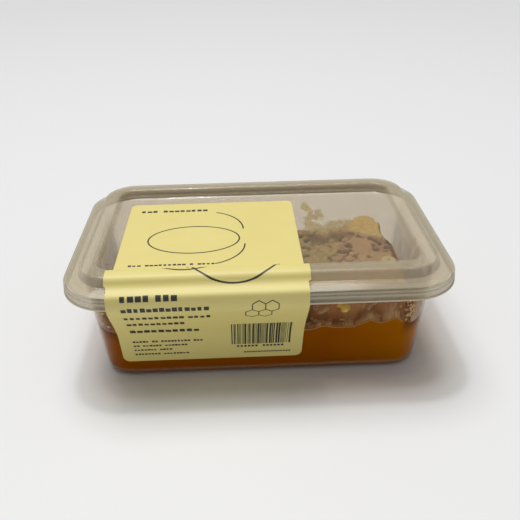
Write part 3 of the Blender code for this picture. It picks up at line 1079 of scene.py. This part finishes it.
def paper_material():
    """Pale yellow satin paper with the faintest mottling and fibre bump."""
    material = plain_material("label_paper_yellow", {"Roughness": 0.48})
    place = object_place(material)
    mottle = node_of(material, "TexNoise", {"Vector": place, "Scale": 30, "Detail": 4}).outputs["Fac"]
    colour = two_tones(material, mottle, 0.3, (0.745, 0.635, 0.215), 0.7, (0.78, 0.67, 0.235))
    fill(shader_of(material).inputs["Base Color"], colour)
    fibre = node_of(material, "TexNoise", {"Vector": place, "Scale": 2500}).outputs["Fac"]
    bump = node_of(material, "Bump", {"Strength": 0.06, "Distance": 0.0002, "Height": fibre})
    fill(shader_of(material).inputs["Normal"], bump.outputs["Normal"])
    return material


label.data.materials.append(paper_material())
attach(label, "root")
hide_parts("label")


# ---------------------------------------------------------------- print
# The label's print is thin dark ink. Words are runs of plain blocks, the drawings are
# plain rings, arcs and hexagons, and the bars have widths that carry no code.

INK_LIFT = PAPER + 0.00004
INK_THICKNESS = 0.00002
TEXT_LEFT = -0.0583
# Distance down the label, block height, letter width, and the letters in each word
WORD_LINES = (
    (0.0090, 0.0022, 0.00290, (3, 8), 0.0024), (0.0664, 0.0014, 0.00205, (3, 9, 1, 4), 0.0014),
    (0.0954, 0.0026, 0.00315, (4, 3), 0.0020), (0.1007, 0.0022, 0.00262, (14,), 0.0),
    (0.1069, 0.0022, 0.00258, (10, 4), 0.0012), (0.1131, 0.0022, 0.00255, (10,), 0.0),
    (0.1200, 0.0022, 0.00315, (9, 1), 0.0), (0.1272, 0.0010, 0.00150, (5, 2, 9, 3), 0.0012),
    (0.1296, 0.0009, 0.00150, (2, 6, 7), 0.0012), (0.1320, 0.0009, 0.00150, (7, 4), 0.0012),
    (0.1345, 0.0009, 0.00150, (8, 8), 0.0012),
)
ink_draw = random.Random(3)
inked = []


def ink_block(left, right, near, far):
    """A flat rectangle between two places across and two distances down the label."""
    bpy.ops.mesh.primitive_plane_add(size=1, location=((left + right) / 2, (near + far) / 2, 0))
    bpy.context.object.scale = (right - left, far - near, 1)
    apply_place()
    inked.append(bpy.context.object)


def ink_ring(middle, half_x, half_y, weight, corners, start=0.0, end=360.0):
    """A thin ring, arc or hexagon of even weight; the angles run round from +X."""
    bpy.ops.mesh.primitive_circle_add(vertices=corners, radius=1, fill_type="NGON")
    ring = bpy.context.object
    ring.scale = (half_x, half_y, 1)
    ring.location = (middle[0], middle[1], 0)
    apply_place()
    start_editing()
    bpy.ops.mesh.select_all(action="SELECT")
    bpy.ops.mesh.inset(thickness=weight)
    bpy.ops.mesh.delete(type="FACE")
    if end - start < 360:
        mesh = bmesh.from_edit_mesh(ring.data)
        for face in mesh.faces:
            spot = face.calc_center_median()
            angle = atan2((spot.y - middle[1]) / half_y, (spot.x - middle[0]) / half_x) * 180 / pi
            face.select = not start <= angle % 360 <= end
        bmesh.update_edit_mesh(ring.data)
        bpy.ops.mesh.delete(type="FACE")
    stop_editing()
    inked.append(ring)


for down, height, letter, words, space in WORD_LINES:
    x = TEXT_LEFT
    for word in words:
        for _ in range(word):
            width = letter * ink_draw.choice((0.62, 0.72, 0.80))
            tall = height * ink_draw.choice((0.80, 0.92, 1.0))
            ink_block(x, x + width, down + height / 2 - tall, down + height / 2)
            x += letter
        x += space

BAR_LEFT, BAR_RIGHT = -0.0134, 0.0143
BAR_NEAR, BAR_FAR = 0.1162, 0.1306
x = BAR_LEFT
while x < BAR_RIGHT - 0.0003:
    width = ink_draw.choice((0.00025, 0.00025, 0.0005, 0.00085))
    ink_block(x, min(x + width, BAR_RIGHT), BAR_NEAR, BAR_FAR)
    x += width + ink_draw.choice((0.00025, 0.00035, 0.0006))
# Start, number of letters, distance down the label, letter width and height
SMALL_LINES = (
    (-0.0110, 6, 0.1318, 0.0017, 0.0010), (0.0010, 6, 0.1318, 0.0017, 0.0010),
    (-0.0076, 17, 0.1354, 0.0013, 0.0008),
)
for start, count, down, letter, height in SMALL_LINES:
    for place in range(count):
        left, right = start + place * letter, start + (place + 0.65) * letter
        ink_block(left, right, down - height / 2, down + height / 2)

THIN_LINE, THICK_LINE = 0.00070, 0.00085
ink_ring((-0.0302, 0.0420), 0.0220, 0.0143, THIN_LINE, 96)
ink_ring((-0.0262, 0.0320), 0.0200, 0.0212, THIN_LINE, 96, 290, 359)
ink_ring((-0.0262, 0.0480), 0.0205, 0.0200, THIN_LINE, 96, 0, 70)
ink_ring((-0.0116, 0.0689), 0.0205, 0.0207, THICK_LINE, 96, 0, 180)
ink_ring((-0.0320, 0.0700), 0.0140, 0.0120, THICK_LINE, 64, 20, 160)
HEXAGON = 0.0034
HEXAGON_LINE = 0.0004
hexagon_step = HEXAGON * sqrt(3) - HEXAGON_LINE
for place_x, place_y in ((0.0, 0.0), (1.0, 0.0), (0.5, 1.0), (-0.5, 1.0)):
    across = -0.0015 + place_x * hexagon_step
    down = 0.1010 + place_y * hexagon_step * sqrt(3) / 2
    ink_ring((across, down), HEXAGON, HEXAGON, HEXAGON_LINE, 6)

ink = join_all(inked, "label_print")
only(ink)
start_editing()
bpy.ops.mesh.select_all(action="SELECT")
bpy.ops.mesh.remove_doubles(threshold=1e-7)
stop_editing()
fold(ink, INK_LIFT)
for face in ink.data.polygons:
    if face.normal.z - face.normal.y < 0:
        face.flip()
apply_modifier(ink, "SOLIDIFY", thickness=INK_THICKNESS, offset=1.0)
only(ink)
bpy.ops.object.shade_flat()
ink.data.materials.append(
    plain_material("label_ink_black", {"Base Color": (0.030, 0.030, 0.024), "Roughness": 0.5})
)
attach(ink, "root")


# ---------------------------------------------------------------- studio
# A plain pale floor, one large soft lamp overhead, a weaker one in front, and the camera.

bpy.ops.mesh.primitive_plane_add(size=6, location=(0, 0, 0))
floor = bpy.context.object
floor.name = "pale_floor"
floor.data.materials.append(
    plain_material("pale_floor_matt", {"Base Color": (0.80, 0.80, 0.80), "Roughness": 0.6})
)

world = bpy.data.worlds.new("pale_room")
bpy.context.scene.world = world
world.use_nodes = True
background = world.node_tree.nodes["Background"]
background.inputs["Color"].default_value = (1, 1, 1, 1)
background.inputs["Strength"].default_value = 0.28


def lamp(name, kind, energy, place, away):
    """A lamp at a place, shining against the direction away from the pack."""
    bpy.ops.object.light_add(type=kind, location=place)
    light = bpy.context.object
    light.name = name
    light.data.energy = energy
    light.rotation_euler = Vector(away).to_track_quat("Z", "Y").to_euler()
    return light.data


lamp("sky_lamp", "SUN", 2.0, (0.2, 0.3, 1.0), (-0.14, 0.28, 1.0)).angle = radians(38)
lamp("small_lamp", "AREA", 2.2, (-0.10, 0.20, 1.1), (-0.10, 0.20, 1.1)).size = 0.10
lamp("front_lamp", "AREA", 0.05, (0.05, -0.62, 0.13), (0.05, -0.58, 0.11)).size = 0.5

CAMERA_PLACE = (-0.00817, -0.29996, 0.19619)
LOOK_DOWN, LOOK_RIGHT, ROLL = radians(28.36), radians(1.78), radians(1.11)
camera_data = bpy.data.cameras.new("camera")
camera = bpy.data.objects.new("camera", camera_data)
bpy.context.scene.collection.objects.link(camera)
camera_data.lens = 47.59
camera_data.sensor_width = 36.0
camera_data.clip_start = 0.01
turn = Euler((pi / 2 - LOOK_DOWN, 0.0, -LOOK_RIGHT)).to_matrix()
turn = turn @ Matrix.Rotation(-ROLL, 3, "Z")
camera.matrix_world = Matrix.Translation(CAMERA_PLACE) @ turn.to_4x4()
bpy.context.scene.camera = camera
bpy.context.scene.view_settings.view_transform = "Standard"
